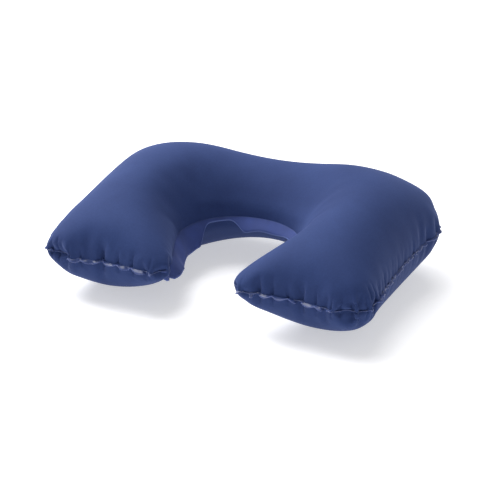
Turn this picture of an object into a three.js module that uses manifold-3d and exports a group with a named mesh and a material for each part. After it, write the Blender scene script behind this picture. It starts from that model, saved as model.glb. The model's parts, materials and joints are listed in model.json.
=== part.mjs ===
// Inflatable U-shaped camp pillow, in millimetres.
// Two flocked PVC sheets are cut to the same U, welded together all round and blown up through a
// push-in valve in the lower sheet. X runs across the pillow, Y from the open front to the back and
// Z up. The origin is under the middle of the pillow, on the surface that it lies on.
import * as THREE from "three";
import { mergeVertices } from "three/addons/utils/BufferGeometryUtils.js";
import Module from "manifold-3d";

const wasm = await Module();
wasm.setup();

// ---------- driving dimensions ----------

// The weld line of the blown-up pillow, seen from above.
const backWidth = 354; // across the two back corners
const tipWidth = 336; // across the outer sides at the front
const weldDepth = 240; // from the back edge to the tips
const backCornerRadius = 58;
const tipOuterRadius = 38;
const tipInnerRadius = 14;
const neckWidth = 114; // the opening between the arms, at its widest
const tipGap = 84; // the opening between the two tips
const backTubeDepth = 92; // from the back edge to the neck, in the middle
const neckArchLength = 60; // from the widest part of the opening to its inner end

// Heights of the air chamber.
const weldHeight = 53; // the weld line above the ground, at the fattest part of the corners
const weldFall = 3; // degrees that it falls towards the tips, which are slimmer
const backCrown = 40; // the sheet's rise above the weld line, in the middle of the back
const cornerCrown = 57; // the same at the back corners, where the chamber is fattest
const armCrown = 52; // the same where the arms start, level with the widest part of the neck
const tipCrown = 45; // the same where the tips start to close
const tipShare = 13 / 22; // of an arm's length, over which its tip closes

// Sheets and weld.
const sheetThickness = 0.4;
const weldThickness = 0.7;
const rimWidth = 3.2; // trimmed weld round the outside
const flapDroop = 58; // degrees that the loose margin round the neck hangs below level
const flapTrim = [
  // how wide that margin is left, at shares of its length from the left tip to the right one
  { share: 0, width: 3 },
  { share: 0.04, width: 5 },
  { share: 0.09, width: 17 },
  { share: 0.3, width: 26 },
  { share: 0.345, width: 4 },
  { share: 0.42, width: 4 },
  { share: 0.47, width: 17 },
  { share: 0.62, width: 17 },
  { share: 0.75, width: 11 },
  { share: 0.9, width: 4 },
  { share: 1, width: 3 },
];
const touchGap = 0.3; // left between pieces that are welded or pressed together

// Valve, measured from its own middle.
const valveAngle = 32; // degrees below the weld line, round the back tube
const flangeRadius = 14;
const flangeThickness = 0.8;
const hubWall = 2;
const hubTop = 1.2; // height of the hub's face above the sheet
const hubDepth = 1.6; // how far the hub reaches inside the sheet
const stemRadius = 5;
const stemBore = 3;
const stemLength = 13;
const collarRadius = 7;
const collarThickness = 1.5;
const stemFootRadius = 6.2;
const stemFootThickness = 1;
const skirtThickness = 0.6;
const flapDiscRadius = 4.2;
const flapDiscThickness = 0.5;
const flapLugLength = 1.6;
const flapLugWidth = 4;
const capRadius = 6;
const capThickness = 1.2;
const plugLength = 4;
const plugTaper = 0.7; // how much slimmer the plug is at its end
const plugClearance = 0.3;
const tabWidth = 5;
const tabLength = 5;
const strapWidth = 4;
const strapThickness = 0.6;
const strapClearance = 0.6; // between the strap and the hub's bore

// Fineness of the facets.
const turnSteps = 15; // from the middle of the back to the start of an arm
const armSteps = 5;
const closingSteps = 7;
const columns = 12; // across the tube
const roundSegments = 36;

// ---------- colours ----------

const flockedPvc = () =>
  new THREE.MeshStandardMaterial({ color: 0x3a4678, roughness: 0.9, metalness: 0 });
const weldedPvc = () =>
  new THREE.MeshStandardMaterial({ color: 0x323d6c, roughness: 0.55, metalness: 0 });
const valvePvc = () =>
  new THREE.MeshStandardMaterial({ color: 0x27325f, roughness: 0.4, metalness: 0 });

// ---------- weld line ----------

const backEdge = weldDepth / 2; // the tips then lie as far in front of the origin
const frontEdge = backEdge - weldDepth;
const neckMiddle = backEdge - backTubeDepth - neckArchLength; // the neck's widest part
const tipClosing = (neckMiddle - frontEdge) * tipShare;
const fattest = neckMiddle / 2 + (backEdge - backTubeDepth / 2) / 2; // where the corners bulge most

const fall = THREE.MathUtils.degToRad(weldFall);
const weldZ = (y) => weldHeight + (y - fattest) * Math.tan(fall);

// A chain of straight stretches whose corners are rounded, each by its own radius.
function roundedChain(corners) {
  const path = new THREE.Path();
  path.moveTo(corners[0].x, corners[0].y);
  for (let i = 1; i < corners.length - 1; i++) {
    const { x, y, radius } = corners[i];
    const corner = new THREE.Vector2(x, y);
    const toLast = new THREE.Vector2(corners[i - 1].x - x, corners[i - 1].y - y).normalize();
    const toNext = new THREE.Vector2(corners[i + 1].x - x, corners[i + 1].y - y).normalize();
    const halfAngle = Math.acos(toLast.dot(toNext)) / 2;
    const cut = radius / Math.tan(halfAngle);
    const start = corner.clone().addScaledVector(toLast, cut);
    const end = corner.clone().addScaledVector(toNext, cut);
    const middle = toLast.clone().add(toNext).normalize();
    middle.multiplyScalar(radius / Math.sin(halfAngle)).add(corner);
    const from = start.clone().sub(middle).angle();
    const to = end.clone().sub(middle).angle();
    const clockwise = toLast.cross(toNext) > 0;
    path.lineTo(start.x, start.y);
    path.absarc(middle.x, middle.y, radius, from, to, clockwise);
  }
  const last = corners[corners.length - 1];
  path.lineTo(last.x, last.y);
  return path.getPoints(24);
}

// Right half of the weld line, from the middle of the back round a tip to the start of the neck arch.
const halfWeld = roundedChain([
  { x: 0, y: backEdge },
  { x: backWidth / 2, y: backEdge, radius: backCornerRadius },
  { x: tipWidth / 2, y: frontEdge, radius: tipOuterRadius },
  { x: tipGap / 2, y: frontEdge, radius: tipInnerRadius },
  { x: neckWidth / 2, y: neckMiddle },
]);

// Where the lines of halfWeld are crossed by a line from a point in a direction, as distances.
function crossings(point, direction) {
  const found = [];
  for (let i = 1; i < halfWeld.length; i++) {
    const edge = halfWeld[i].clone().sub(halfWeld[i - 1]);
    const across = direction.cross(edge);
    if (Math.abs(across) < 1e-9) continue;
    const toEdge = halfWeld[i - 1].clone().sub(point);
    const along = toEdge.cross(direction) / across;
    if (along > -1e-6 && along < 1 + 1e-6) found.push(toEdge.cross(edge) / across);
  }
  return found.sort((a, b) => a - b);
}

const smooth = (t) => THREE.MathUtils.smoothstep(t, 0, 1);
const cornerShare = 0.6; // of the turn, where the corner is fattest

// One station of the tube: its outer and inner weld points and the sheet's rise between them.
function turnStation(step) {
  const angle = (Math.PI / 2) * (1 - step / turnSteps);
  const direction = new THREE.Vector2(Math.cos(angle), Math.sin(angle));
  const middle = new THREE.Vector2(0, neckMiddle);
  const outer = middle.clone().addScaledVector(direction, crossings(middle, direction).at(-1));
  const inner = new THREE.Vector2(
    (neckWidth / 2) * Math.cos(angle),
    neckMiddle + neckArchLength * Math.sin(angle),
  );
  const toCorner = smooth(step / (turnSteps * cornerShare));
  const toArm = smooth((step / turnSteps - cornerShare) / (1 - cornerShare));
  const fattening = THREE.MathUtils.lerp(backCrown, cornerCrown, toCorner);
  return { outer, inner, crown: THREE.MathUtils.lerp(fattening, armCrown, toArm) };
}

function armStation(y, crown) {
  const rightward = new THREE.Vector2(1, 0);
  const hits = crossings(new THREE.Vector2(0, y), rightward);
  const outer = new THREE.Vector2(hits.at(-1), y);
  return { outer, inner: new THREE.Vector2(hits[0], y), crown };
}

function rightStations() {
  const stations = [];
  for (let i = 0; i <= turnSteps; i++) stations.push(turnStation(i));
  const closingStart = frontEdge + tipClosing;
  for (let i = 1; i <= armSteps; i++) {
    const t = i / armSteps;
    const y = THREE.MathUtils.lerp(neckMiddle, closingStart, t);
    stations.push(armStation(y, THREE.MathUtils.lerp(armCrown, tipCrown, t)));
  }
  for (let i = 1; i < closingSteps; i++) {
    const angle = ((Math.PI / 2) * i) / closingSteps;
    const y = closingStart - tipClosing * Math.sin(angle);
    stations.push(armStation(y, tipCrown * Math.cos(angle)));
  }
  const tipEdge = [tipWidth / 2 - tipOuterRadius, tipGap / 2 + tipInnerRadius];
  const [outer, inner] = tipEdge.map((x) => new THREE.Vector2(x, frontEdge));
  stations.push({ outer, inner, crown: 0 });
  return stations;
}

const mirrored = ({ outer, inner, crown }) => ({
  outer: new THREE.Vector2(-outer.x, outer.y),
  inner: new THREE.Vector2(-inner.x, inner.y),
  crown,
});
const right = rightStations();
const stations = [...right.slice(1).reverse().map(mirrored), ...right]; // left tip to right tip
const rows = stations.length;
const across = columns + 1;

// ---------- sheets ----------

// The blown-up sheet's points, row by row; side is 1 for the upper sheet and -1 for the lower.
function sheetPoints(side) {
  const points = [];
  for (const { outer, inner, crown } of stations) {
    for (let k = 0; k <= columns; k++) {
      const angle = (Math.PI * k) / columns;
      const plan = outer.clone().lerp(inner, (1 - Math.cos(angle)) / 2);
      const rise = crown * Math.sin(angle);
      points.push(new THREE.Vector3(plan.x, plan.y, weldZ(plan.y) + side * rise));
    }
  }
  return points;
}

const onTip = (i) => i < across || i >= (rows - 1) * across;
const onSide = (i) => i % across === 0 || i % across === columns;

function gridTriangles() {
  const triangles = [];
  for (let row = 0; row < rows - 1; row++) {
    for (let k = 0; k < columns; k++) {
      const a = row * across + k;
      const b = a + across;
      triangles.push([a, a + 1, b + 1], [a, b + 1, b]);
    }
  }
  return triangles;
}

function geometryOf(points, triangles) {
  const geometry = new THREE.BufferGeometry();
  const flat = points.flatMap((p) => [p.x, p.y, p.z]);
  geometry.setAttribute("position", new THREE.Float32BufferAttribute(flat, 3));
  geometry.setIndex(triangles.flat());
  return geometry;
}

// Outward directions at the sheet's points; along the weld they lie level.
function sheetNormals(points, side) {
  const geometry = geometryOf(points, gridTriangles());
  geometry.computeVertexNormals();
  const normals = geometry.getAttribute("normal");
  return points.map((_, i) => {
    if (onTip(i)) return new THREE.Vector3(0, -1, 0);
    const n = new THREE.Vector3().fromBufferAttribute(normals, i);
    if (onSide(i)) n.z = 0;
    return n.normalize().multiplyScalar(side);
  });
}

// A closed skin that follows the sheet, between two distances from it. The weld edge is cut level,
// half a touchGap from the weld line, and nothing goes lower than the ground.
function skin(side, from, to) {
  const points = sheetPoints(side);
  const normals = sheetNormals(points, side);
  const layer = (distance) =>
    points.map((p, i) => {
      const q = p.clone().addScaledVector(normals[i], distance);
      const weldEdge = weldZ(q.y) + (side * touchGap) / 2;
      if (side > 0) q.z = Math.max(q.z, weldEdge);
      else q.z = Math.min(Math.max(q.z, to - distance), weldEdge);
      return q;
    });
  const outside = layer(to);
  const inside = layer(from);
  const count = points.length;
  const top = gridTriangles();
  const under = top.map(([a, b, c]) => [a + count, c + count, b + count]);
  const walls = edgeLoop().flatMap(([a, b]) => [
    [b, a, a + count],
    [b, a + count, b + count],
  ]);
  const all = [...top, ...under, ...walls];
  const turned = side < 0 ? all.map(([a, b, c]) => [a, c, b]) : all;
  return geometryOf([...outside, ...inside], turned);
}

// The sheet's boundary edges, in the order that gridTriangles goes round them.
function edgeLoop() {
  const edges = [];
  for (let k = 0; k < columns; k++) {
    edges.push([k, k + 1]);
    const last = (rows - 1) * across + k;
    edges.push([last + 1, last]);
  }
  for (let row = 0; row < rows - 1; row++) {
    const a = row * across;
    edges.push([a + across, a], [a + columns, a + columns + across]);
  }
  return edges;
}

// ---------- weld margin ----------

// Level directions away from the chamber at each point of a chain of weld points.
function outwards(chain, turn) {
  return chain.map((_, i) => {
    const before = chain[Math.max(i - 1, 0)];
    const after = chain[Math.min(i + 1, chain.length - 1)];
    const along = after.clone().sub(before).normalize();
    return new THREE.Vector2(along.y * turn, -along.x * turn);
  });
}

// A flat strip along a weld chain. width(i) is its width and droop its fall in degrees.
function strip(chain, turn, width, droop) {
  const away = outwards(chain, turn);
  const hang = THREE.MathUtils.degToRad(droop);
  const half = weldThickness / 2;
  const points = chain.flatMap((p, i) => {
    const at = (distance, lift) => {
      const level = distance * Math.cos(hang) + (half + lift) * Math.sin(hang);
      const q = p.clone().addScaledVector(away[i], touchGap + level);
      const z = weldZ(p.y) - distance * Math.sin(hang) + lift * Math.cos(hang);
      return new THREE.Vector3(q.x, q.y, z);
    };
    return [at(0, -half), at(width(i), -half), at(width(i), half), at(0, half)];
  });
  const triangles = [];
  for (let i = 0; i < chain.length - 1; i++) {
    for (let side = 0; side < 4; side++) {
      const a = 4 * i + side;
      const b = 4 * i + ((side + 1) % 4);
      triangles.push([a, b, b + 4], [a, b + 4, a + 4]);
    }
  }
  const end = 4 * (chain.length - 1);
  triangles.push([0, 2, 1], [0, 3, 2], [end, end + 1, end + 2], [end, end + 2, end + 3]);
  return geometryOf(points, turn > 0 ? triangles.map(([a, b, c]) => [a, c, b]) : triangles);
}

function tipEdgePoints({ outer, inner }) {
  const points = [];
  for (let k = 1; k < columns; k++) {
    const angle = (Math.PI * k) / columns;
    points.push(outer.clone().lerp(inner, (1 - Math.cos(angle)) / 2));
  }
  return points;
}

function outerRim() {
  const outerEdge = stations.map(({ outer }) => outer);
  const leftTip = tipEdgePoints(stations[0]).reverse();
  const rightTip = tipEdgePoints(stations[rows - 1]);
  return strip([...leftTip, ...outerEdge, ...rightTip], -1, () => rimWidth, 0);
}

function trimWidth(share) {
  const next = flapTrim.findIndex((mark) => mark.share >= share);
  if (next < 1) return flapTrim[0].width;
  const [before, after] = [flapTrim[next - 1], flapTrim[next]];
  const t = (share - before.share) / (after.share - before.share);
  return THREE.MathUtils.lerp(before.width, after.width, smooth(t));
}

function neckFlap() {
  const chain = stations.map(({ inner }) => inner);
  const along = [0];
  for (let i = 1; i < rows; i++) along.push(along[i - 1] + chain[i].distanceTo(chain[i - 1]));
  const width = (i) => trimWidth(along[i] / along[rows - 1]);
  return strip(chain, 1, width, flapDroop);
}

// ---------- solids ----------

function solidOf(geometry) {
  const plain = new THREE.BufferGeometry();
  plain.setAttribute("position", geometry.getAttribute("position"));
  plain.setIndex(geometry.index);
  const merged = mergeVertices(plain, 1e-4);
  const vertProperties = merged.getAttribute("position").array;
  const triVerts = new Uint32Array(merged.index.array);
  return new wasm.Manifold(new wasm.Mesh({ numProp: 3, vertProperties, triVerts }));
}

function geometryFrom(solid) {
  const { vertProperties, triVerts } = solid.getMesh();
  const geometry = new THREE.BufferGeometry();
  geometry.setAttribute("position", new THREE.BufferAttribute(vertProperties, 3));
  geometry.setIndex(new THREE.BufferAttribute(triVerts, 1));
  return geometry;
}

// A turned piece on the valve's axis, from [radius, height] pairs that run anticlockwise.
function turnedPiece(profile) {
  const points = profile.map(([radius, height]) => new THREE.Vector2(radius, height));
  return new THREE.LatheGeometry(points, roundSegments).rotateX(Math.PI / 2);
}

function drum(radius, bottom, top) {
  return turnedPiece([
    [0, bottom],
    [radius, bottom],
    [radius, top],
    [0, top],
  ]);
}

// ---------- valve ----------

// The valve's own frame: its +Z points out of the sheet, its +X along the pillow's.
function valveFrame() {
  const round = THREE.MathUtils.degToRad(valveAngle);
  const halfTube = backTubeDepth / 2;
  const y = backEdge - halfTube * (1 - Math.cos(round));
  const z = weldZ(y) - backCrown * Math.sin(round);
  const out = new THREE.Vector3(0, Math.cos(round) / halfTube, -Math.sin(round) / backCrown);
  const x = new THREE.Vector3(1, 0, 0);
  out.normalize().applyAxisAngle(x, fall);
  const frame = new THREE.Matrix4().makeBasis(x, out.clone().cross(x), out);
  return frame.setPosition(0, y, z);
}
const valvePlace = valveFrame();
const hubBore = collarRadius + touchGap + strapThickness + strapClearance;
const hubRadius = hubBore + hubWall;
const stemTop = hubTop;
const stemEnd = stemTop - stemLength;
const reach = 40; // longer than anything that the valve's cutters pass through

function valveFlange() {
  const blank = solidOf(skin(-1, touchGap, touchGap + flangeThickness));
  const disc = solidOf(drum(flangeRadius, -reach / 4, reach / 4)).transform(valvePlace.elements);
  const hub = solidOf(drum(hubRadius, -hubDepth, hubTop)).transform(valvePlace.elements);
  const bore = solidOf(drum(hubBore, -reach, reach)).transform(valvePlace.elements);
  const made = blank.intersect(disc).add(hub).subtract(bore);
  const home = valvePlace.clone().invert();
  return geometryFrom(made.transform(home.elements));
}

function lowerPanel() {
  const hole = drum(hubRadius + touchGap, -reach / 4, reach / 4);
  const cutter = solidOf(hole).transform(valvePlace.elements);
  return geometryFrom(solidOf(skin(-1, -sheetThickness, 0)).subtract(cutter));
}

// A soft sleeve that joins the hub to the stem's foot, and turns inside out as the stem is pulled.
function valveSkirt() {
  const mouth = hubBore - touchGap;
  const foot = stemFootRadius + touchGap;
  const mouthTop = -hubDepth / 2;
  const mouthEnd = -hubDepth;
  const footTop = stemEnd + stemFootThickness;
  return turnedPiece([
    [foot, stemEnd],
    [foot + skirtThickness, stemEnd],
    [mouth, mouthEnd],
    [mouth, mouthTop],
    [mouth - skirtThickness, mouthTop],
    [mouth - skirtThickness, mouthEnd],
    [foot, footTop],
    [foot, stemEnd],
  ]);
}

function valveStem() {
  return turnedPiece([
    [stemBore, stemEnd],
    [stemFootRadius, stemEnd],
    [stemFootRadius, stemEnd + stemFootThickness],
    [stemRadius, stemEnd + stemFootThickness],
    [stemRadius, stemTop - collarThickness],
    [collarRadius, stemTop - collarThickness],
    [collarRadius, stemTop],
    [stemBore, stemTop],
    [stemBore, stemEnd],
  ]);
}

// A thin disc over the stem's inner end, with a lug at the side that it is welded by.
function checkFlap() {
  const top = stemEnd - touchGap;
  const disc = solidOf(drum(flapDiscRadius, top - flapDiscThickness, top));
  const lug = new THREE.BoxGeometry(flapLugLength, flapLugWidth, flapDiscThickness);
  lug.translate(flapDiscRadius + flapLugLength / 4, 0, top - flapDiscThickness / 2);
  return geometryFrom(disc.add(solidOf(lug)));
}

const capBottom = stemTop + touchGap;

// A cap with a tapered plug below it and a tab to pull it by.
function stopper() {
  const plugRadius = stemBore - plugClearance;
  const body = turnedPiece([
    [0, capBottom - plugLength],
    [plugRadius - plugTaper, capBottom - plugLength],
    [plugRadius, capBottom],
    [capRadius, capBottom],
    [capRadius, capBottom + capThickness],
    [0, capBottom + capThickness],
  ]);
  const tab = new THREE.BoxGeometry(capRadius / 2 + tabLength, tabWidth, capThickness);
  const tabMiddle = capRadius + tabLength / 2 - capRadius / 4;
  tab.translate(-tabMiddle, 0, capBottom + capThickness / 2);
  return geometryFrom(solidOf(body).add(solidOf(tab)));
}

// A short strap that rises from the collar's side and turns in to the cap's edge.
function stopperStrap() {
  const start = collarRadius + touchGap;
  const end = capRadius + touchGap;
  const top = capBottom + capThickness;
  const outline = new THREE.Shape();
  outline.moveTo(start, stemTop - collarThickness);
  outline.lineTo(start + strapThickness, stemTop - collarThickness);
  outline.lineTo(start + strapThickness, top - strapThickness);
  outline.lineTo(start, top);
  outline.lineTo(end, top);
  outline.lineTo(end, top - strapThickness);
  outline.lineTo(start, top - strapThickness);
  outline.closePath();
  const band = new THREE.ExtrudeGeometry(outline, { depth: strapWidth, bevelEnabled: false });
  return band.translate(0, 0, -strapWidth / 2).rotateX(Math.PI / 2);
}

// ---------- assembly ----------

const pillow = new THREE.Group();
const valve = new THREE.Group();
valvePlace.decompose(valve.position, valve.quaternion, valve.scale);
pillow.add(valve);

function place(parent, name, geometry, material) {
  const mesh = new THREE.Mesh(geometry, material);
  mesh.name = name;
  parent.add(mesh);
}

place(pillow, "upper_panel", skin(1, -sheetThickness, 0), flockedPvc());
place(pillow, "lower_panel", lowerPanel(), flockedPvc());
place(pillow, "outer_weld_rim", outerRim(), weldedPvc());
place(pillow, "neck_weld_flap", neckFlap(), weldedPvc());
place(valve, "valve_flange", valveFlange(), valvePvc());
place(valve, "valve_skirt", valveSkirt(), valvePvc());
place(valve, "valve_stem", valveStem(), valvePvc());
place(valve, "check_flap", checkFlap(), valvePvc());
place(valve, "stopper_strap", stopperStrap(), valvePvc());
place(valve, "stopper", stopper(), valvePvc());

export default pillow;
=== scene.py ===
# Inflatable camp pillow: two flocked PVC sheets cut to the same U, welded together all round and
# blown up through a push-in valve low on the back.
import json
import math

import bmesh
import bpy
import numpy as np
from mathutils import Matrix, Vector
from mathutils.geometry import delaunay_2d_cdt
from mathutils.kdtree import KDTree


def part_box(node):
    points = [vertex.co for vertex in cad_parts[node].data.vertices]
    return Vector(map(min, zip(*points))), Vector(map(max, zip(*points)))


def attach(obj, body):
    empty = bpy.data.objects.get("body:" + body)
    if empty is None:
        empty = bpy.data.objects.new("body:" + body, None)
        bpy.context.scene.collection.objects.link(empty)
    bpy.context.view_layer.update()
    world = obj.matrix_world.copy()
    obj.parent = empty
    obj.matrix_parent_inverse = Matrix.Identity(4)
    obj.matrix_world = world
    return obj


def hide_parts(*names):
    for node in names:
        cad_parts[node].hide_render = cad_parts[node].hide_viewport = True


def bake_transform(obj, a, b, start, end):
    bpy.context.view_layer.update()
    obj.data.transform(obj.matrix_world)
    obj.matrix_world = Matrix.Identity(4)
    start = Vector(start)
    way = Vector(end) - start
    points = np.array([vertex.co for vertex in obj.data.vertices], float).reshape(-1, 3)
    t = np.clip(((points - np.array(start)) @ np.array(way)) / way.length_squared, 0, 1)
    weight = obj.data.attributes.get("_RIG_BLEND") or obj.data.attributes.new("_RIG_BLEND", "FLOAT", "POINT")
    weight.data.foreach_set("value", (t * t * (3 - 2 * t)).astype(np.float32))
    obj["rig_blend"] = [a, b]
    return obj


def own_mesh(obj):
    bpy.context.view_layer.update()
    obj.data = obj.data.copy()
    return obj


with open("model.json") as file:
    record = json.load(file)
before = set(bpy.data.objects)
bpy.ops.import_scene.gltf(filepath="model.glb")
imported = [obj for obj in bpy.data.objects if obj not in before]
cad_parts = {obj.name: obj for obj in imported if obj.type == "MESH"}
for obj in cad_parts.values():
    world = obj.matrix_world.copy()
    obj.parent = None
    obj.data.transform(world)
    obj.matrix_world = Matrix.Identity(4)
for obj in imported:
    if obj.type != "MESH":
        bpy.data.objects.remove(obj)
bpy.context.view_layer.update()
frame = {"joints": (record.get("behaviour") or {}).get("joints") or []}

MM = 0.001
RANDOM = np.random.default_rng(7)
ARC_STEPS = 24  # points on each rounded corner of the cutting pattern
TURN_STEPS = 72  # points round a turned piece

# ---------- sizes, in millimetres ----------

# The flat U that both sheets are cut to. Y is 0 at the back edge and falls towards the tips.
CUT_HALF_WIDTH = 215.0  # at the back corners
CUT_BACK_BOW = 4.0  # how far the middle of the back edge is cut in
CUT_DEPTH = 283.0  # of the tip's outer corner
CUT_TIP_OUTER = 221.0  # how far out the tip's outer corner is
CUT_TIP_INNER = 52.0
CUT_INNER_DEPTH = 297.0  # of the tip's inner corner
CUT_TIP_MIDDLE = (CUT_TIP_OUTER + CUT_TIP_INNER) / 2
CUT_NECK_HALF = 58.0  # half the width of the neck
CUT_NECK_START = 197.5  # how far down the arms end and the arch of the neck starts
CUT_NECK_ARCH = 62.0
CUT_BACK_RADIUS = 84.0
CUT_TIP_OUTER_RADIUS = 46.0
CUT_TIP_INNER_RADIUS = 27.0

NET_SPACING = 4.2  # between the points of the simulated sheets
WELD_HALF_WIDTH = 177.5  # of the blown-up pillow, at the back corners
WELD_FRONT = -121.0
WELD_BACK = 120.0
WELD_HEIGHT = 53.0  # above the ground, at the fattest part of the corners
FATTEST = 21.0  # where that is
WELD_FALL = 3.0  # degrees that the weld falls towards the tips
CROWN = 57.5  # the most that the upper sheet rises above the weld

# The valve, with its heights counted outwards from the lower sheet.
HUB_RADIUS = 10.5
HUB_BORE = 8.5
FLANGE_RADIUS = 14.0
STEM_TOP = 1.2
STEM_END = -11.8
STEM_BORE = 3.0
STEM_RADIUS = 5.0
COLLAR_RADIUS = 7.0
COLLAR_THICKNESS = 1.5
FOOT_RADIUS = 6.2
CAP_BOTTOM = STEM_TOP + 0.3
CAP_RADIUS = 6.0
CAP_THICKNESS = 1.2

# The weld's margins.
RIM_THICKNESS = 0.9
RIM_STEP = 1.1  # between the rim's sections along the weld
FLAP_THICKNESS = 0.9
FLAP_STEP = 2.2
PUCKER_REACH = 27.0  # how far from the weld the longest creases fade out
EDGE_DRAW = 0.27  # share of a crease's depth that the weld is drawn in by

# How wide the margin round the neck is left, at shares of its length from the left tip.
FLAP_TRIM = (
    (0.0, 7),
    (0.015, 12),
    (0.06, 17),
    (0.3, 26),
    (0.345, 4),
    (0.42, 4),
    (0.46, 17),
    (0.53, 15),
    (0.6, 11),
    (0.75, 9),
    (0.9, 4),
    (1.0, 3),
)
# How steeply that margin hangs, in degrees below level, by the weld and at its edge.
FLAP_FALL = (
    (0.0, 66, 82),
    (0.08, 56, 68),
    (0.3, 50, 62),
    (0.45, 30, 42),
    (1.0, 36, 48),
)

# The cloth simulation. Its pressure and the number of steps suit a net of 6 mm, and are scaled.
AIR_PUSH = 0.1
RUN_LENGTH = 1800.0  # steps times the net's spacing
DAMPING = 0.9
SWEEPS = 6  # times per step that the cut lengths are drawn back
FOLD_STIFFNESS = 0.3
SETTLE_PASSES = 40


# ---------- lines ----------


def unit(vectors):
    return vectors / np.linalg.norm(vectors, axis=-1, keepdims=True)


def smoothed(values, times):
    """Evens out a closed line's points or numbers."""
    for _ in range(times):
        values = (np.roll(values, 1, axis=0) + 4 * values + np.roll(values, -1, axis=0)) / 6
    return values


def smoothed_open(values, times):
    """The same for a line with two ends, which stay where they are."""
    for _ in range(times):
        inner = (values[:-2] + 2 * values[1:-1] + values[2:]) / 4
        values = np.concatenate([values[:1], inner, values[-1:]])
    return values


def run_lengths(line):
    """How far along a line each of its points is."""
    return np.r_[0, np.cumsum(np.linalg.norm(np.diff(line, axis=0), axis=1))]


def wave(along, length, phase):
    return np.sin(2 * math.pi * along / length + phase)


# ---------- the cutting pattern ----------


def round_corner(before, corner, after, radius, count):
    """The points of an arc that rounds one corner of an outline."""
    back = (before - corner) / np.linalg.norm(before - corner)
    onward = (after - corner) / np.linalg.norm(after - corner)
    half = math.acos(float(back @ onward)) / 2
    centre = corner + (back + onward) / np.linalg.norm(back + onward) * radius / math.sin(half)
    start = corner + back * radius / math.tan(half) - centre
    end = corner + onward * radius / math.tan(half) - centre
    turn = math.atan2(start[0] * end[1] - start[1] * end[0], float(start @ end))
    angles = math.atan2(start[1], start[0]) + turn * np.linspace(0, 1, count)
    return centre + radius * np.stack([np.cos(angles), np.sin(angles)], axis=1)


def evenly(points, spacing):
    """A closed line's points, set again at equal steps."""
    closed = np.vstack([points, points[:1]])
    along = run_lengths(closed)
    steps = np.linspace(0, along[-1], round(along[-1] / spacing) + 1)[:-1]
    return np.stack([np.interp(steps, along, closed[:, k]) for k in range(2)], axis=1)


def cut_outline():
    """The closed U, clockwise from the middle of the back."""
    corners = np.array(
        [
            [0, -CUT_BACK_BOW],
            [CUT_HALF_WIDTH, 0],
            [CUT_TIP_OUTER, -CUT_DEPTH],
            [CUT_TIP_INNER, -CUT_INNER_DEPTH],
            [CUT_NECK_HALF, -CUT_NECK_START],
        ]
    )
    radii = (CUT_BACK_RADIUS, CUT_TIP_OUTER_RADIUS, CUT_TIP_INNER_RADIUS)
    right = [corners[:1]]
    for i, radius in enumerate(radii):
        right.append(round_corner(*corners[i : i + 3], radius, ARC_STEPS))
    angle = np.linspace(0, math.pi / 2, ARC_STEPS)
    arch = np.stack([CUT_NECK_HALF * np.cos(angle), CUT_NECK_ARCH * np.sin(angle)], axis=1)
    right.append(arch - [0, CUT_NECK_START])
    right = np.concatenate(right)
    left = (right * [-1, 1])[::-1][1:-1]
    return np.concatenate([right, left])


def depth_inside(points, seam):
    """How far points lie inside the outline; it is below zero outside."""
    onward = np.roll(seam, -1, axis=0) - np.roll(seam, 1, axis=0)
    outward = np.stack([-onward[:, 1], onward[:, 0]], axis=1)
    outward /= np.linalg.norm(outward, axis=1)[:, None]
    nearest = np.array([np.argmin(((seam - p) ** 2).sum(1)) for p in points])
    return ((seam[nearest] - points) * outward[nearest]).sum(1)


def flat_net(spacing):
    """Points and triangles that fill the U. The seam's points come first."""
    seam = evenly(cut_outline(), spacing)
    low, high = seam.min(0), seam.max(0)
    rows = np.arange(low[1], high[1], spacing * math.sqrt(3) / 2)
    across = np.arange(low[0], high[0], spacing)
    grid = [(x + row % 2 * spacing / 2, y) for row, y in enumerate(rows) for x in across]
    grid = np.array(grid) + RANDOM.normal(0, 0.12 * spacing, (len(grid), 2))
    inner = grid[depth_inside(grid, seam) > 0.68 * spacing]
    points = np.concatenate([seam, inner])
    constraint = [list(range(len(seam)))]
    made = delaunay_2d_cdt([Vector(p) for p in points], [], constraint, 1, 1e-5)
    return np.array([tuple(p) for p in made[0]]), np.array(made[2]), len(seam)


# ---------- blowing it up ----------


def sheet_edges(faces):
    """Every edge of the triangles once, as a pair of points."""
    edges = np.concatenate([faces[:, [0, 1]], faces[:, [1, 2]], faces[:, [2, 0]]])
    return np.unique(np.sort(edges, axis=1), axis=0)


def far_corners(faces):
    """For each edge that two triangles share, the corner of each that isn't on it."""
    edges = np.concatenate([faces[:, [0, 1]], faces[:, [1, 2]], faces[:, [2, 0]]])
    far = np.concatenate([faces[:, 2], faces[:, 0], faces[:, 1]])
    edges.sort(axis=1)
    order = np.lexsort((edges[:, 1], edges[:, 0]))
    edges, far = edges[order], far[order]
    shared = np.nonzero((edges[1:] == edges[:-1]).all(1))[0]
    return np.stack([far[shared], far[shared + 1]], axis=1)


def apart_groups(pairs, count):
    """Splits pairs of points into groups in which no point comes twice."""
    taken = [0] * count
    group = np.zeros(len(pairs), int)
    for i, (a, b) in enumerate(pairs.tolist()):
        used = taken[a] | taken[b]
        free = (~used & (used + 1)).bit_length() - 1
        group[i] = free
        taken[a] |= 1 << free
        taken[b] |= 1 << free
    return [pairs[group == g] for g in range(group.max() + 1)]


def lengths(points, pairs):
    return np.linalg.norm(points[pairs[:, 1]] - points[pairs[:, 0]], axis=1)


def pull(points, pairs, rest, give):
    """Draws both ends of each pair towards their rest length. give tells how much of a pair's excess
    length to take up."""
    way = points[pairs[:, 1]] - points[pairs[:, 0]]
    length = np.sqrt((way * way).sum(1)) + 1e-12
    way *= (give(length - rest) / 2 / length)[:, None]
    points[pairs[:, 0]] += way
    points[pairs[:, 1]] -= way


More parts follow.
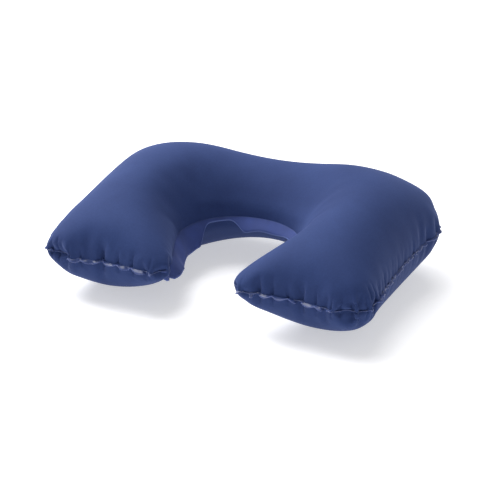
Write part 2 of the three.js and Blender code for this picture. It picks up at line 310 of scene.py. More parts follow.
def inflate(flat, faces, start, spacing):
    """Cloth simulation of the blown-up sheets: air pushes every triangle outwards, the cloth keeps
    its cut lengths and resists folding."""
    count = len(flat)
    threads = [(g, lengths(flat, g)) for g in apart_groups(sheet_edges(faces), count)]
    bends = far_corners(faces)
    bends = bends[lengths(flat, bends) > spacing / 2]  # across the weld the sheets fold freely
    folds = [(g, lengths(flat, g)) for g in apart_groups(bends, count)]
    steps = round(RUN_LENGTH / spacing)
    push = AIR_PUSH * (spacing / 6) ** 2
    points = start.copy()
    speed = np.zeros_like(points)
    for _ in range(steps):
        a, b, c = (points[faces[:, k]] for k in range(3))
        share = np.cross(b - a, c - a) / (3 * math.sqrt(3) * spacing**2)
        for k in range(3):
            pressed = np.bincount(faces.ravel(), np.repeat(share[:, k], 3), minlength=count)
            speed[:, k] += pressed * push
        speed *= DAMPING
        before = points.copy()
        points += speed
        for sweep in range(SWEEPS):
            for pairs, rest in threads:
                pull(points, pairs, rest, lambda excess: excess)
            if sweep == 0:
                for pairs, rest in folds:
                    pull(points, pairs, rest, lambda excess: FOLD_STIFFNESS * np.minimum(excess, 0))
        speed = points - before
    return points


def blown_up_pillow():
    """The blown-up net: its points in the frame and on the flat U, the upper and the lower sheet's
    triangles, and how many of the points are on the seam."""
    flat, triangles, seam_count = flat_net(NET_SPACING)
    count = len(flat)
    seam = flat[:seam_count]
    depth = np.maximum(depth_inside(flat, seam), 0)
    rise = 0.6 * np.sqrt(60 * depth)
    under = np.r_[np.arange(seam_count), np.arange(count, 2 * count - seam_count)]
    lower = under[triangles][:, ::-1]
    rest = np.column_stack([flat, np.zeros(count)])
    rest = np.concatenate([rest, rest[seam_count:]])
    start = rest.copy()  # a rough start, a little puffed up and drawn in
    start[:, 2] = np.r_[rise, -rise[seam_count:]]
    middle = -CUT_DEPTH / 2
    start[:, 0] *= 0.85
    start[:, 1] = (start[:, 1] - middle) * 0.88 + middle
    start += RANDOM.normal(0, 0.05, start.shape)
    faces = np.concatenate([triangles, lower])
    points = inflate(rest, faces, start, NET_SPACING)
    depth = depth_inside(rest[:, :2], seam)
    points = settle(points, faces, np.clip((depth - 8) / 22, 0, 1))
    for sheet in (np.arange(count), under):
        points[sheet] = ease_back(points[sheet], rest[sheet, :2], depth[sheet])
    return lay_down(points, seam_count), rest[:, :2], triangles, lower, seam_count


def settle(points, faces, free):
    """Evens out creases where the sheet is free to, as thick film does, without shrinking the
    shape."""
    edges = sheet_edges(faces)
    ends, others = np.concatenate([edges, edges[:, ::-1]]).T
    count = len(points)
    neighbours = np.bincount(ends, minlength=count)[:, None]
    free = free[:, None]
    for _ in range(SETTLE_PASSES):
        for weight in (0.5, -0.52):
            total = np.stack(
                [np.bincount(ends, points[others, k], minlength=count) for k in range(3)], axis=1
            )
            points = points + weight * free * (total / neighbours - points)
    return points


def ease_back(points, flat, depth):
    """Takes out the sharp fold that the pull of the arms leaves across the middle of the back: the
    sheet is drawn to a smooth surface fitted to it there. x and y are shares of the half width."""
    x, y = flat.T / CUT_HALF_WIDTH
    terms = np.stack([x**i * y**j for i in range(5) for j in range(6)], axis=1)
    near = (abs(x) < 0.7) & (y > -0.8) & (depth > 3)
    fitted, *_ = np.linalg.lstsq(terms[near], points[near], rcond=None)
    share = np.clip((0.55 - abs(x)) / 0.3, 0, 1) * np.clip((y + 0.74) / 0.1, 0, 1)
    share *= np.clip((depth - 4) / 14, 0, 1)
    share = share * share * (3 - 2 * share)
    return points + share[:, None] * (terms @ fitted - points)


def lay_down(points, seam_count):
    """Draws the blown-up shape to the pillow's width, depth and height, and sets it on the ground."""
    seam = points[:seam_count]
    low, high = seam.min(0), seam.max(0)
    points = points - (low + high) / 2
    points[:, 0] *= WELD_HALF_WIDTH * 2 / (high[0] - low[0])
    points[:, 1] *= (WELD_BACK - WELD_FRONT) / (high[1] - low[1])
    points[:, 2] *= CROWN * 2 / np.ptp(points[:, 2])
    points[:, 1] += (WELD_BACK + WELD_FRONT) / 2
    fall = math.radians(WELD_FALL)
    y = (points[:, 1] - FATTEST) * math.cos(fall) - points[:, 2] * math.sin(fall)
    z = (points[:, 1] - FATTEST) * math.sin(fall) + points[:, 2] * math.cos(fall)
    return np.column_stack([points[:, 0], y + FATTEST, np.maximum(z + WELD_HEIGHT, 0)])


# ---------- the valve's seat ----------


def joint(name):
    return next(j for j in frame["joints"] if j["name"] == name)


def valve_home():
    """The valve's own frame in metres: +Z out of the sheet, the origin on the sheet."""
    out = Vector(joint("valve_push")["axis"]).normalized()
    right = Vector((1, 0, 0))
    turn = Matrix((right, out.cross(right), out)).transposed()
    stem_low, stem_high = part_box("valve_stem")
    stem_middle = (STEM_TOP + STEM_END) / 2 * MM
    return Matrix.Translation((stem_low + stem_high) / 2 - out * stem_middle) @ turn.to_4x4()


VALVE_HOME = valve_home()


def in_valve_frame(points):
    """Points in millimetres, seen from the valve's own frame."""
    home = np.array(VALVE_HOME.inverted())
    return (points * MM) @ home[:3, :3].T / MM + home[:3, 3] / MM


def from_valve_frame(points):
    """Points of the valve's own frame, back among the rest."""
    home = np.array(VALVE_HOME)
    return (points * MM) @ home[:3, :3].T / MM + home[:3, 3] / MM


def seat_for_valve(points, lower):
    """Draws the lower sheet level round the valve, as the stiff flange holds it."""
    local = in_valve_frame(points)
    radius = np.hypot(local[:, 0], local[:, 1])
    level = FLANGE_RADIUS + 2
    share = np.clip((3 * FLANGE_RADIUS - radius) / (3 * FLANGE_RADIUS - level), 0, 1)
    share = share * share * (3 - 2 * share)
    on_sheet = np.zeros(len(points), bool)
    on_sheet[lower.ravel()] = True
    near = on_sheet & (np.abs(local[:, 2]) < 2 * FLANGE_RADIUS)
    local[near, 2] *= 1 - share[near]
    middle = local[lower].mean(axis=1)
    hole = np.hypot(middle[:, 0], middle[:, 1]) < HUB_RADIUS
    hole &= np.abs(middle[:, 2]) < FLANGE_RADIUS
    return from_valve_frame(local), lower[~hole]


# ---------- mesh pieces ----------


def mesh_piece(name, points, faces):
    """A new smooth object from points in millimetres."""
    mesh = bpy.data.meshes.new(name)
    mesh.from_pydata((np.asarray(points) * MM).tolist(), [], [list(map(int, f)) for f in faces])
    mesh.update()
    for face in mesh.polygons:
        face.use_smooth = True
    piece = bpy.data.objects.new(name, mesh)
    bpy.context.scene.collection.objects.link(piece)
    return piece


def store(piece, name, values):
    """Keeps one number per point, which a material can read."""
    layer = piece.data.attributes.new(name, "FLOAT", "POINT")
    layer.data.foreach_set("value", np.asarray(values, np.float32))


def read(mesh, name):
    values = np.empty(len(mesh.vertices), np.float32)
    mesh.attributes[name].data.foreach_get("value", values)
    return values.astype(float)


def sheet_piece(name, points, flat, faces, away, reach):
    """One welded sheet, smooth, with its puckers. reach is how far they go, as a share."""
    used, faces = np.unique(faces, return_inverse=True)
    rough = mesh_piece(name, points[used], faces.reshape(-1, 3))
    store(rough, "cut_x", flat[used, 0])
    store(rough, "cut_y", flat[used, 1])
    rough.modifiers.new("smooth", "SUBSURF").levels = 1
    ready = rough.evaluated_get(bpy.context.evaluated_depsgraph_get())
    piece = bpy.data.objects.new(name, bpy.data.meshes.new_from_object(ready))
    bpy.data.objects.remove(rough)
    piece.name = name
    bpy.context.scene.collection.objects.link(piece)
    finer_near_weld(piece.data)
    pucker(piece.data, away, reach)
    return piece


def finer_near_weld(mesh):
    """Halves the faces next to the weld, where the puckers need them."""
    work = bmesh.new()
    work.from_mesh(mesh)
    x, y = (work.verts.layers.float[key] for key in ("cut_x", "cut_y"))
    flat = np.array([(v[x], v[y]) for v in work.verts])
    depth, _ = weld_places(flat)
    near = depth < PUCKER_REACH
    work.verts.ensure_lookup_table()
    edges = [e for e in work.edges if near[e.verts[0].index] and near[e.verts[1].index]]
    bmesh.ops.subdivide_edges(work, edges=edges, cuts=1, use_grid_fill=True)
    work.to_mesh(mesh)
    work.free()


# ---------- puckers ----------

FINE_OUTLINE = evenly(cut_outline(), 1.0)  # one point each millimetre, so an index is a length
OUTLINE_LENGTH = len(FINE_OUTLINE)


def weld_places(flat):
    """For points on the flat U: how far from the cut edge, and how far round it, they lie."""
    tree = KDTree(len(FINE_OUTLINE))
    for i, (x, y) in enumerate(FINE_OUTLINE):
        tree.insert((x, y, 0), i)
    tree.balance()
    found = [tree.find((x, y, 0)) for x, y in flat]
    return np.array([f[2] for f in found]), np.array([f[1] for f in found], float)


def corner_round(side):
    """How far round the cut edge a tip's inner corner is."""
    corner = [side * CUT_TIP_INNER, -CUT_INNER_DEPTH]
    return float(np.argmin(((FINE_OUTLINE - corner) ** 2).sum(1)))


def tip_share(y):
    """0 on the arms and the back, rising to 1 at the tips, by the place down the flat U."""
    return np.clip((-y - 190) / 50, 0, 1)


def pucker_places():
    """Where the outer weld is puckered: place, depth, length and slant of each crease. They are
    closest and deepest round the tips, where the edge has the most cloth to lose."""
    first, last = corner_round(-1), corner_round(1) + OUTLINE_LENGTH
    made = []
    place = first + 4
    while place < last - 4:
        x, y = FINE_OUTLINE[int(place) % len(FINE_OUTLINE)]
        at_tip = tip_share(y)
        at_corner = at_tip * np.clip((abs(x) - CUT_TIP_MIDDLE - 40) / 20, 0, 1)
        from_end = np.clip(min(place - first, last - place) / 40, 0.25, 1)
        deep = (1.0 + 3.1 * at_tip * RANDOM.uniform(0.6, 1.25)) * from_end
        long = RANDOM.uniform(12, 21) + 5 * at_corner
        made.append((place, deep, long, RANDOM.uniform(-0.16, 0.16)))
        place += RANDOM.uniform(13, 25) if at_corner < 0.4 else RANDOM.uniform(9, 14)
    return np.array(made)


PUCKERS = pucker_places()


def pucker_depth(depth, place, reach=1.0, width=1.4):
    """How deep the creases are at points that lie so far from and so far round the cut edge. They
    are width wide there and widen inwards."""
    total = np.zeros(len(depth))
    for where, deep, length, slant in PUCKERS:
        beside = place - where - slant * depth
        beside = np.abs((beside + OUTLINE_LENGTH / 2) % OUTLINE_LENGTH - OUTLINE_LENGTH / 2)
        fade = np.clip(1 - depth / (length * reach), 0, 1)
        total += deep * np.exp(-beside / (width + 0.12 * depth)) * fade
    return total


def round_the_weld(values, places):
    """Values that are known at the seam's points, at other places round it."""
    known = np.arange(len(values)) * OUTLINE_LENGTH / len(values)
    return np.stack(
        [np.interp(places, known, values[:, k], period=OUTLINE_LENGTH) for k in range(3)], axis=1
    )


def pucker(mesh, away, reach):
    """Presses the creases into a sheet. At the weld itself they draw the edge in."""
    depth, place = weld_places(np.column_stack([read(mesh, "cut_x"), read(mesh, "cut_y")]))
    deep = pucker_depth(depth, place, reach)
    count = len(mesh.vertices)
    normals, points = np.empty(count * 3, np.float32), np.empty(count * 3, np.float32)
    mesh.vertex_normals.foreach_get("vector", normals)
    mesh.vertices.foreach_get("co", points)
    inwards = -normals.reshape(-1, 3) * (deep * (1 - np.exp(-depth / 1.5)))[:, None]
    drawn = -round_the_weld(away, place) * (EDGE_DRAW * deep * np.exp(-depth / 3))[:, None]
    points = points.reshape(-1, 3) + (inwards + drawn) * MM
    points[:, 2] = np.maximum(points[:, 2], 0)
    mesh.vertices.foreach_set("co", points.astype(np.float32).ravel())
    mesh.update()


# ---------- weld margins ----------


def away_from_chamber(points, faces, seam_count):
    """For each point of the seam, the way that the flat weld points, between the two sheets."""
    total = np.zeros((len(points), 3))
    edges = sheet_edges(faces)
    for a, b in (edges.T, edges.T[::-1]):
        outside = (a < seam_count) & (b >= seam_count)
        np.add.at(total, a[outside], unit(points[a[outside]] - points[b[outside]]))
    along = np.roll(points[:seam_count], -1, axis=0) - np.roll(points[:seam_count], 1, axis=0)
    along = unit(smoothed(along, 1))
    away = total[:seam_count]
    away -= (away * along).sum(1)[:, None] * along
    return unit(smoothed(unit(away), 2))


def band(name, root, away, widths, droops, thickness):
    """A thin strip along the weld. droops are its fall in degrees at the weld and at the edge."""
    steps = 6
    inset = 1.0  # how far it reaches in under the sheets
    along = unit(np.gradient(root, axis=0))
    down = np.array([0, 0, -1.0])
    level = unit(away * [1, 1, 0.4])
    down = unit(down - (level @ down)[:, None] * level)
    line = [root - level * inset]
    facing = []
    for step in range(steps + 1):
        share = step / steps
        fall = np.radians(droops[0] + (droops[1] - droops[0]) * share)
        way = level * np.cos(fall)[:, None] + down * np.sin(fall)[:, None]
        facing.append(unit(np.cross(way, along)))
        if step < steps:
            line.append(line[-1] + way * ((widths + inset) / steps)[:, None])
    line, facing = np.array(line), np.array(facing)
    facing *= np.sign(facing[..., 2].mean())
    half = np.full(steps + 1, thickness / 2)
    half[-1] *= 0.45
    top = line + facing * half[:, None, None]
    under = line - facing * half[:, None, None]
    loop = np.concatenate([top, under[::-1]])
    rings, count = len(loop), len(root)
    points = loop.transpose(1, 0, 2).reshape(-1, 3)
    faces = []
    for i in range(count - 1):
        for k in range(rings):
            a, b = i * rings + k, i * rings + (k + 1) % rings
            faces.append((a, b, b + rings, a + rings))
    for start in (0, (count - 1) * rings):
        for k in range(steps):
            faces.append((start + k, start + k + 1, start + rings - 2 - k, start + rings - 1 - k))
    piece = mesh_piece(name, points, faces)
    share = np.linspace(0, 1, steps + 1)
    across = np.concatenate([share, share[::-1]])
    store(piece, "from_weld", (across[None, :] * widths[:, None]).ravel())
    store(piece, "to_edge", ((1 - across[None, :]) * widths[:, None]).ravel())
    turn_faces_out(piece)
    return piece


def turn_faces_out(piece):
    work = bmesh.new()
    work.from_mesh(piece.data)
    bmesh.ops.recalc_face_normals(work, faces=work.faces)
    work.to_mesh(piece.data)
    work.free()


def weld_rim(seam, flat, away):
    """The trimmed weld round the outside, from the left tip's inner corner to the right one's. It
    is widest between the creases, where the melted film stands out as a glossy lens."""
    places = np.arange(corner_round(-1), corner_round(1) + OUTLINE_LENGTH, RIM_STEP)
    outward = round_the_weld(away, places)
    deep = pucker_depth(np.zeros(len(places)), places)
    root = round_the_weld(seam, places) - outward * (EDGE_DRAW * deep)[:, None]
    lens = 1 - np.minimum(pucker_depth(np.zeros(len(places)), places, width=2.6) / 2.4, 1)
    lens = smoothed_open(lens, 6)
    cut_edge = np.column_stack([flat[: len(seam)], np.zeros(len(seam))])
    x, y, _ = round_the_weld(cut_edge, places).T
    at_tip = tip_share(y)
    widths = 1.7 + (1.1 + 1.6 * at_tip) * lens + 0.3 * wave(places, 23, 1.9)
    widths *= 1 - 0.35 * np.clip((-y - 235) / 20, 0, 1) * np.clip((abs(x) - 180) / 15, 0, 1)
    fall = -10 + 40 * lens + 9 * wave(places, 67, 0.2)
    return band("outer_weld", root, smoothed_open(outward, 4), widths, (fall, fall), RIM_THICKNESS)


def neck_flap(seam, away):
    """The wide margin left round the neck, cut roughly and hanging down."""
    places = np.arange(corner_round(-1) + 2, corner_round(1) - 2, -FLAP_STEP)
    outward = smoothed_open(round_the_weld(away, places), 40)
    root = smoothed_open(round_the_weld(seam, places), 6)
    along = run_lengths(root)
    share = along / along[-1]
    marks, marked = np.array(FLAP_TRIM).T
    widths = smoothed_open(np.interp(share, marks, marked), 2)
    loose = np.minimum(widths / 20, 1)
    widths += loose * 0.9 * wave(along, 41, 0.6)
    marks, at_weld, at_edge = np.array(FLAP_FALL).T
    fall_root = np.interp(share, marks, at_weld) + 4 * loose * wave(along, 52, 1.0)
    fall_edge = np.interp(share, marks, at_edge) + loose * 7 * wave(along, 44, 2.1)
    return band("neck_margin", root, outward, widths, (fall_root, fall_edge), FLAP_THICKNESS)


# ---------- valve pieces ----------


def rounded_profile(corners):
    """A turned piece's outline from (radius, height, rounding) corners."""
    points = []
    count = len(corners)
    for i, (x, y, rounding) in enumerate(corners):
        here = np.array([x, y], float)
        if rounding == 0:
            points.append(here)
            continue
        before = np.array(corners[i - 1][:2], float)
        after = np.array(corners[(i + 1) % count][:2], float)
        points.extend(round_corner(before, here, after, rounding, 5))
    return points


def turned(name, corners, closed=True):
    """A smooth turned piece on the valve's axis. An open profile starts and ends on the axis."""
    profile = rounded_profile(corners)
    points, faces, rings = [], [], []
    for x, y in profile:
        if x < 1e-6:
            rings.append([len(points)] * TURN_STEPS)
            points.append((0, 0, y))
            continue
        rings.append(list(range(len(points), len(points) + TURN_STEPS)))
        for k in range(TURN_STEPS):
            angle = 2 * math.pi * k / TURN_STEPS
            points.append((x * math.cos(angle), x * math.sin(angle), y))
    onward = rings[1:] + rings[:1] if closed else rings[1:]
    for low, high in zip(rings, onward):
        for k in range(TURN_STEPS):
            n = (k + 1) % TURN_STEPS
            face = list(dict.fromkeys([low[k], low[n], high[n], high[k]]))
            if len(face) > 2:
                faces.append(face)
    piece = mesh_piece(name, points, faces)
    turn_faces_out(piece)
    piece.data.transform(VALVE_HOME)
    return piece


def stacked_faces(layers, count):
    """Faces that close a stack of outlines of count points each."""
    last = (layers - 1) * count
    faces = [list(range(count))[::-1], list(range(last, last + count))]
    for layer in range(layers - 1):
        for k in range(count):
            a, b = layer * count + k, layer * count + (k + 1) % count
            faces.append((a, b, b + count, a + count))
    return faces


def rounded_plate(name, outline, bottom, top, rounding):
    """A flat moulded piece with soft edges, in the valve's frame, from an outline of (x, y)."""
    outline = np.array(outline, float)
    middle = outline.mean(axis=0)
    spokes = outline - middle
    reach = np.linalg.norm(spokes, axis=1)
    layers = []
    for angle in np.linspace(-math.pi / 2, math.pi / 2, 7):
        inset = rounding * (1 - math.cos(angle))
        height = (bottom + rounding if angle < 0 else top - rounding) + rounding * math.sin(angle)
        shrunk = middle + spokes * (1 - inset / reach)[:, None]
        layers.append(np.column_stack([shrunk, np.full(len(outline), height)]))
    piece = mesh_piece(name, np.concatenate(layers), stacked_faces(len(layers), len(outline)))
    piece.data.transform(VALVE_HOME)
    return piece


def valve_flange():
    """The welded flange and its raised hub, one moulding."""
    return turned(
        "valve_mount",
        [
            (HUB_BORE, -1.6, 0.3),
            (HUB_RADIUS - 0.4, -1.6, 0.3),
            (HUB_RADIUS - 0.4, 0.05, 0),
            (FLANGE_RADIUS, 0.05, 0),
            (FLANGE_RADIUS, 0.75, 0.3),
            (12.2, 0.75, 0.2),
            (12.0, 0.95, 0.1),
            (HUB_RADIUS + 0.3, 0.95, 0.1),
            (HUB_RADIUS, 1.35, 0.15),
            (HUB_BORE, 1.35, 0.35),
        ],
    )


def valve_skirt():
    """The soft sleeve between the hub and the stem's foot, which turns inside out."""
    return turned(
        "valve_sleeve",
        [
            (6.5, STEM_END, 0),
            (7.1, STEM_END, 0.2),
            (7.6, -9.0, 1.5),
            (8.2, -1.6, 0),
            (8.2, -0.8, 0.2),
            (7.6, -0.8, 0.2),
            (7.6, -1.6, 0),
            (7.0, -8.8, 1.5),
            (6.5, STEM_END + 1, 0),
        ],
    )


def valve_stem():
    """The tube that is blown into, with a lip round its mouth."""
    return turned(
        "blow_tube",
        [
            (STEM_BORE, STEM_END, 0.2),
            (FOOT_RADIUS, STEM_END, 0.2),
            (FOOT_RADIUS, STEM_END + 1, 0.3),
            (STEM_RADIUS, STEM_END + 1, 0.4),
            (STEM_RADIUS, -4.2, 0.2),
            (STEM_RADIUS + 0.35, -3.9, 0.1),
            (STEM_RADIUS + 0.35, -3.3, 0.1),
            (STEM_RADIUS, -3.0, 0.2),
            (STEM_RADIUS, STEM_TOP - COLLAR_THICKNESS, 0.3),
            (COLLAR_RADIUS, STEM_TOP - COLLAR_THICKNESS, 0.4),
            (COLLAR_RADIUS, STEM_TOP, 0.4),
            (STEM_BORE + 0.4, STEM_TOP, 0.3),
            (STEM_BORE, STEM_TOP - 0.6, 0.2),
        ],
    )


def air_flap():
    """The thin disc that closes the tube's inner end, and the lug that it hangs on."""
    angle = np.linspace(0.5, 2 * math.pi - 0.5, 40)
    outline = [(4.2 * math.cos(a), 4.2 * math.sin(a)) for a in angle]
    outline += [(5.0, -2.0), (5.4, -1.6), (5.4, 1.6), (5.0, 2.0)]
    return rounded_plate("air_flap_disc", outline, STEM_END - 0.8, STEM_END - 0.3, 0.12)


def stopper():
    """The cap with its tapered plug and its pull tab, one moulding."""
    body = turned(
        "stopper_cap",
        [
            (0, CAP_BOTTOM - 4, 0),
            (2.0, CAP_BOTTOM - 4, 0.3),
            (2.7, CAP_BOTTOM - 0.4, 0.2),
            (2.9, CAP_BOTTOM, 0.1),
            (CAP_RADIUS, CAP_BOTTOM, 0.3),
            (CAP_RADIUS, CAP_BOTTOM + CAP_THICKNESS, 0.45),
            (4.3, CAP_BOTTOM + CAP_THICKNESS, 0.2),
            (4.0, CAP_BOTTOM + 0.95, 0.2),
            (0, CAP_BOTTOM + 0.95, 0),
        ],
        closed=False,
    )
    tab_end = [(-9.0 - 2.2 * math.sin(a), 2.5 * math.cos(a)) for a in np.linspace(0, math.pi, 13)]
    tab_outline = [(-4.4, -2.4), (-4.4, 2.4), (-5.6, 2.6), *tab_end, (-5.6, -2.6)]
    tab = rounded_plate("tab", tab_outline[::-1], CAP_BOTTOM + 0.1, CAP_BOTTOM + 1.1, 0.3)
    work = bmesh.new()
    work.from_mesh(body.data)
    work.from_mesh(tab.data)
    bmesh.ops.recalc_face_normals(work, faces=work.faces)
    work.to_mesh(body.data)
    work.free()
    bpy.data.objects.remove(tab)
    return body


def stopper_strap():
    """The thin strap that keeps the stopper on the tube."""
    top = CAP_BOTTOM + CAP_THICKNESS
    half_width = 2.0
    side = [
        (7.2, STEM_TOP - 1.4),
        (7.9, STEM_TOP - 1.4),
        (8.0, STEM_TOP - 0.4),
        (7.9, top - 0.4),
        (7.5, top),
        (6.9, top + 0.05),
        (6.3, top - 0.05),
        (6.3, top - 0.6),
        (6.9, top - 0.6),
        (7.3, top - 0.9),
        (7.3, STEM_TOP - 0.4),
    ]
    middle = np.mean(side, axis=0)
    shares = (-1, -0.9, 0.9, 1)  # of the half width; the two outer faces are tucked in
    points = []
    for share in shares:
        tuck = 0.9 if abs(share) == 1 else 1.0
        for x, z in middle + (np.array(side) - middle) * tuck:
            points.append((x, share * half_width, z))
    piece = mesh_piece("stopper_keeper", points, stacked_faces(len(shares), len(side)))
    turn_faces_out(piece)
    piece.data.transform(VALVE_HOME)
    return piece


# ---------- materials ----------


def colour(hex_value):
    """An sRGB hex colour as the linear values that Blender works in."""
    parts = [int(hex_value[i : i + 2], 16) / 255 for i in (1, 3, 5)]
    linear = [p / 12.92 if p <= 0.04045 else ((p + 0.055) / 1.055) ** 2.4 for p in parts]
    return (*linear, 1.0)


def add_node(tree, kind, settings=None, **links):
    """Adds a node, sets its settings and sockets, and links the sockets that are given a source. A
    socket goes by its name, or by its number as i0."""
    node = tree.nodes.new(kind)
    for key, value in (settings or {}).items():
        setattr(node, key, value)
    for key, value in links.items():
        by_number = key[1:].isdigit()
        socket = node.inputs[int(key[1:]) if by_number else key.replace("_", " ")]
        if isinstance(value, bpy.types.NodeSocket):
            tree.links.new(value, socket)
        else:
            socket.default_value = value
    return node


def new_material(name):
    """A node material, with its tree and its shader."""
    material = bpy.data.materials.new(name)
    material.use_nodes = True
    tree = material.node_tree
    shader = tree.nodes["Principled BSDF"]
    return material, tree, shader


def ramp(tree, source, stops):
    """Colours that follow a source's value, from (value, colour) stops."""
    node = add_node(tree, "ShaderNodeValToRGB", i0=source)
    elements = node.color_ramp.elements
    while len(elements) < len(stops):
        elements.new(0.5)
    for element, (place, shade) in zip(elements, stops):
        element.position = place
        element.color = shade
    return node.outputs["Color"]


def noise(tree, place, size_mm, detail=2.0, roughness=0.5):
    """Noise whose blotches are about size_mm across."""
    node = add_node(
        tree,
        "ShaderNodeTexNoise",
        Vector=place,
        Scale=1000 / size_mm / 1.6,
        Detail=detail,
        Roughness=roughness,
    )
    return node.outputs["Fac"]


def mix(tree, factor, first, second, blend="MIX"):
    node = add_node(tree, "ShaderNodeMix", {"data_type": "RGBA", "blend_type": blend}, i0=factor)
    for index, value in ((6, first), (7, second)):
        if isinstance(value, bpy.types.NodeSocket):
            tree.links.new(value, node.inputs[index])
        else:
            node.inputs[index].default_value = value
    return node.outputs[2]


def flocked_pvc():
    """Flocked PVC: PVC film with half-millimetre rayon fibres glued upright on it. It looks like
    short velvet: matt, paler at a glancing look, with soft patches where the pile lies over."""
    material, tree, shader = new_material("flocked_pvc")
    place = add_node(tree, "ShaderNodeTexCoord").outputs["Object"]
    patches = noise(tree, place, 38, detail=3)
    pile = noise(tree, place, 1.1, detail=2, roughness=0.7)
    base = ramp(tree, patches, [(0.3, colour("#213260")), (0.7, colour("#293b6b"))])
    shaded, lit = (0.93, 0.93, 0.93, 1), (1.06, 1.06, 1.06, 1)  # what the fibres' tips do to it
    speck = ramp(tree, pile, [(0.3, shaded), (0.7, lit)])
    tree.links.new(mix(tree, 1.0, base, speck, "MULTIPLY"), shader.inputs["Base Color"])
    shader.inputs["Roughness"].default_value = 0.85
    shader.inputs["Specular IOR Level"].default_value = 0.25
    shader.inputs["Sheen Weight"].default_value = 0.3
    shader.inputs["Sheen Roughness"].default_value = 0.45
    shader.inputs["Sheen Tint"].default_value = colour("#8294cf")
    crush = noise(tree, place, 9, detail=3, roughness=0.6)
    soft = add_node(tree, "ShaderNodeBump", Strength=0.25, Distance=0.0006, Height=crush)
    fibres = add_node(
        tree,
        "ShaderNodeBump",
        Strength=0.2,
        Distance=0.0003,
        Height=pile,
        Normal=soft.outputs["Normal"],
    )
    tree.links.new(fibres.outputs["Normal"], shader.inputs["Normal"])
    return material


def map_range(tree, value, low, high, at_low, at_high):
    """A value that goes from at_low to at_high while the source goes from low to high."""
    node = add_node(
        tree,
        "ShaderNodeMapRange",
        Value=value,
        From_Min=low,
        From_Max=high,
        To_Min=at_low,
        To_Max=at_high,
    )
    return node.outputs["Result"]


def welded_pvc(name, melted_width, film_roughness, cut_edge):
    """Flocked PVC that a hot bar has melted together: by the weld the pile is gone and the film is smooth
    and glossy, and further out the flock is left, painted lighter than the sheets' own flock as painted
    light.
    Along the cut edge a pale band is a painted highlight."""
    material, tree, shader = new_material(name)
    place = add_node(tree, "ShaderNodeTexCoord").outputs["Object"]
    from_weld = add_node(tree, "ShaderNodeAttribute", {"attribute_name": "from_weld"}).outputs["Fac"]
    to_edge = add_node(tree, "ShaderNodeAttribute", {"attribute_name": "to_edge"}).outputs["Fac"]
    patches = noise(tree, place, 16, detail=3)
    melted = map_range(tree, from_weld, melted_width, melted_width + 1.2, 1.0, 0.0)
    # Mask of the painted highlight: a pale band along the cut edge.
    cut = map_range(tree, to_edge, 0.2, 1.2, 1.0, 0.0)  # both in millimetres
    # This is the sheets' flock painted lighter: painted light where the margin catches the light.
    flock = ramp(tree, patches, [(0.3, colour("#27376c")), (0.7, colour("#304280"))])
    film = ramp(tree, patches, [(0.3, colour("#2b3b6c")), (0.7, colour("#364679"))])
    body = mix(tree, melted, flock, film)
    # The pale colour laid over the cut edge is a painted highlight.
    tree.links.new(mix(tree, cut, body, colour(cut_edge)), shader.inputs["Base Color"])
    roughness = map_range(tree, melted, 0.0, 1.0, 0.85, film_roughness)
    tree.links.new(roughness, shader.inputs["Roughness"])
    shader.inputs["IOR"].default_value = 1.53
    shader.inputs["Specular IOR Level"].default_value = 0.42
    shader.inputs["Sheen Weight"].default_value = 0.15
    shader.inputs["Sheen Roughness"].default_value = 0.45
    shader.inputs["Sheen Tint"].default_value = colour("#8c98cf")
    ripples = noise(tree, place, 9, detail=2, roughness=0.5)
    bump = add_node(tree, "ShaderNodeBump", Strength=0.3, Distance=0.0005, Height=ripples)
    tree.links.new(bump.outputs["Normal"], shader.inputs["Normal"])
    return material


def moulded_valve_pvc():
    """Injection-moulded soft PVC: a dull polish from the mould, slightly cloudy, with fine flow
    marks."""
    material, tree, shader = new_material("moulded_valve_pvc")
    place = add_node(tree, "ShaderNodeTexCoord").outputs["Object"]
    cloud = noise(tree, place, 7, detail=3)
    base = ramp(tree, cloud, [(0.3, colour("#232e5f")), (0.7, colour("#2b376b"))])
    tree.links.new(base, shader.inputs["Base Color"])
    grain = noise(tree, place, 0.6, detail=2)
    tree.links.new(map_range(tree, grain, 0.0, 1.0, 0.3, 0.48), shader.inputs["Roughness"])
    shader.inputs["IOR"].default_value = 1.53
    bump = add_node(tree, "ShaderNodeBump", Strength=0.2, Distance=0.0002, Height=grain)
    tree.links.new(bump.outputs["Normal"], shader.inputs["Normal"])
    return material


def pale_floor():
    """White acrylic sheet with a lamp under it: matt, and its own faint glow keeps shadows pale."""
    material, _, shader = new_material("pale_floor")
    shader.inputs["Base Color"].default_value = colour("#dedee0")
    shader.inputs["Roughness"].default_value = 0.9
    shader.inputs["Emission Color"].default_value = colour("#ffffff")
    shader.inputs["Emission Strength"].default_value = 0.5
    return material


# ---------- assembly ----------

points, flat, upper, lower, seam_count = blown_up_pillow()
away = away_from_chamber(points, np.concatenate([upper, lower]), seam_count)
points, lower = seat_for_valve(points, lower)
seam = smoothed(points[:seam_count], 1)

flock, moulding = flocked_pvc(), moulded_valve_pvc()
# The last colour of each is a painted highlight along the cut edge.
melted_rim = welded_pvc("melted_rim", 6.0, 0.3, "#41518a")
flocked_margin = welded_pvc("flocked_margin", 0.4, 0.7, "#5a6ca6")
upper_sheet = sheet_piece("upper_sheet", points, flat, upper, away, 1.0)
lower_sheet = sheet_piece("lower_sheet", points, flat, lower, away, 0.65)
rim = weld_rim(seam, flat, away)
flap = neck_flap(seam, away)

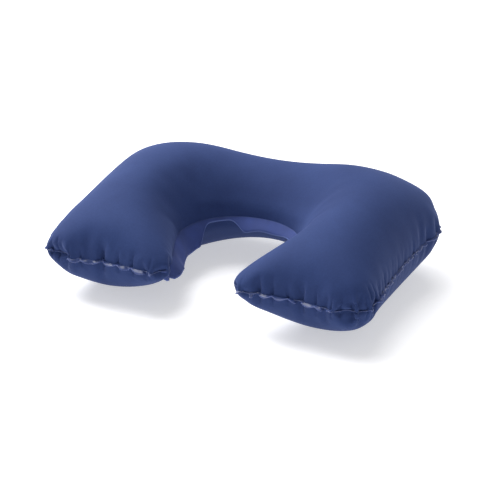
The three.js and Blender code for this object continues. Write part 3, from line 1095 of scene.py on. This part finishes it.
pieces = (
    # piece, material, body, CAD node, slot
    (upper_sheet, flock, "root", "upper_panel", "flocked_pvc"),
    (lower_sheet, flock, "root", "lower_panel", "flocked_pvc"),
    (rim, melted_rim, "root", "outer_weld_rim", "welded_pvc"),
    (flap, flocked_margin, "root", "neck_weld_flap", "welded_pvc"),
    (valve_flange(), moulding, "valve_seat", "valve_flange", "valve_pvc"),
    (valve_skirt(), moulding, "", "valve_skirt", "valve_pvc"),
    (valve_stem(), moulding, "valve_tube", "valve_stem", "valve_pvc"),
    (air_flap(), moulding, "air_flap", "check_flap", "valve_pvc"),
    (stopper(), moulding, "stopper_cap", "stopper", "valve_pvc"),
    (stopper_strap(), moulding, "", "stopper_strap", "valve_pvc"),
)
for piece, material, body, node, slot in pieces:
    piece.data.materials.append(material)
    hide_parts(node)
    if body:
        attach(piece, body)

for soft in (upper_sheet, lower_sheet, rim, flap):
    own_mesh(soft)

sleeve = bpy.data.objects["valve_sleeve"]
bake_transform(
    sleeve,
    "valve_seat",
    "valve_tube",
    start=VALVE_HOME @ Vector((0, 0, -1.6 * MM)),
    end=VALVE_HOME @ Vector((0, 0, -11 * MM)),
)
keeper = bpy.data.objects["stopper_keeper"]
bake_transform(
    keeper,
    "valve_tube",
    "stopper_cap",
    start=VALVE_HOME @ Vector((7.6 * MM, 0, 1.6 * MM)),
    end=VALVE_HOME @ Vector((6.4 * MM, 0, 2.6 * MM)),
)

# ---------- floor, light and camera ----------


FLOOR_HALF = 60000  # so far that its edge is never seen
CAMERA_PLACE = (0.4747, -1.049, 0.5455)  # in metres
CAMERA_AZIMUTH = 24.2  # degrees round from the front, and above level
CAMERA_ELEVATION = 24.1
CAMERA_LENS = 90.8


def ground():
    far = FLOOR_HALF
    corners = [(-far, -far, 0), (far, -far, 0), (far, far, 0), (-far, far, 0)]
    floor = mesh_piece("floor", corners, [(0, 1, 2, 3)])
    floor.data.materials.append(pale_floor())


def softbox(name, place, size, power):
    """A square lamp that faces the pillow."""
    light = bpy.data.lights.new(name, "AREA")
    light.energy = power
    light.size = size
    lamp = bpy.data.objects.new(name, light)
    lamp.location = place
    lamp.rotation_euler = Vector(place).to_track_quat("Z", "Y").to_euler()
    bpy.context.scene.collection.objects.link(lamp)


def sun(name, place, spread, strength):
    """Soft light from one side; spread is the angle in degrees that it comes from."""
    light = bpy.data.lights.new(name, "SUN")
    light.energy = strength
    light.angle = math.radians(spread)
    lamp = bpy.data.objects.new(name, light)
    lamp.rotation_euler = Vector(place).to_track_quat("Z", "Y").to_euler()
    bpy.context.scene.collection.objects.link(lamp)


def camera():
    data = bpy.data.cameras.new("camera")
    data.lens = CAMERA_LENS
    data.sensor_width = 36
    eye = bpy.data.objects.new("camera", data)
    azimuth, elevation = math.radians(CAMERA_AZIMUTH), math.radians(CAMERA_ELEVATION)
    level = math.cos(elevation)
    back = Vector((math.sin(azimuth) * level, -math.cos(azimuth) * level, math.sin(elevation)))
    eye.rotation_mode = "QUATERNION"
    eye.location = CAMERA_PLACE
    eye.rotation_quaternion = (-back).to_track_quat("-Z", "Y")
    bpy.context.scene.collection.objects.link(eye)
    bpy.context.scene.camera = eye


ground()
sun("skylight", (-0.5, 0.3, 1.15), 60, 2.3)
softbox("side", (-0.75, 0.1, 0.72), 0.5, 7.5)
softbox("overhead", (-0.4, 0.0, 1.2), 0.6, 3)
camera()
world = bpy.data.worlds.new("studio")
bpy.context.scene.world = world
world.use_nodes = True
background = world.node_tree.nodes["Background"]
background.inputs["Color"].default_value = colour("#ffffff")
background.inputs["Strength"].default_value = 0.36
bpy.context.scene.view_settings.view_transform = "Standard"
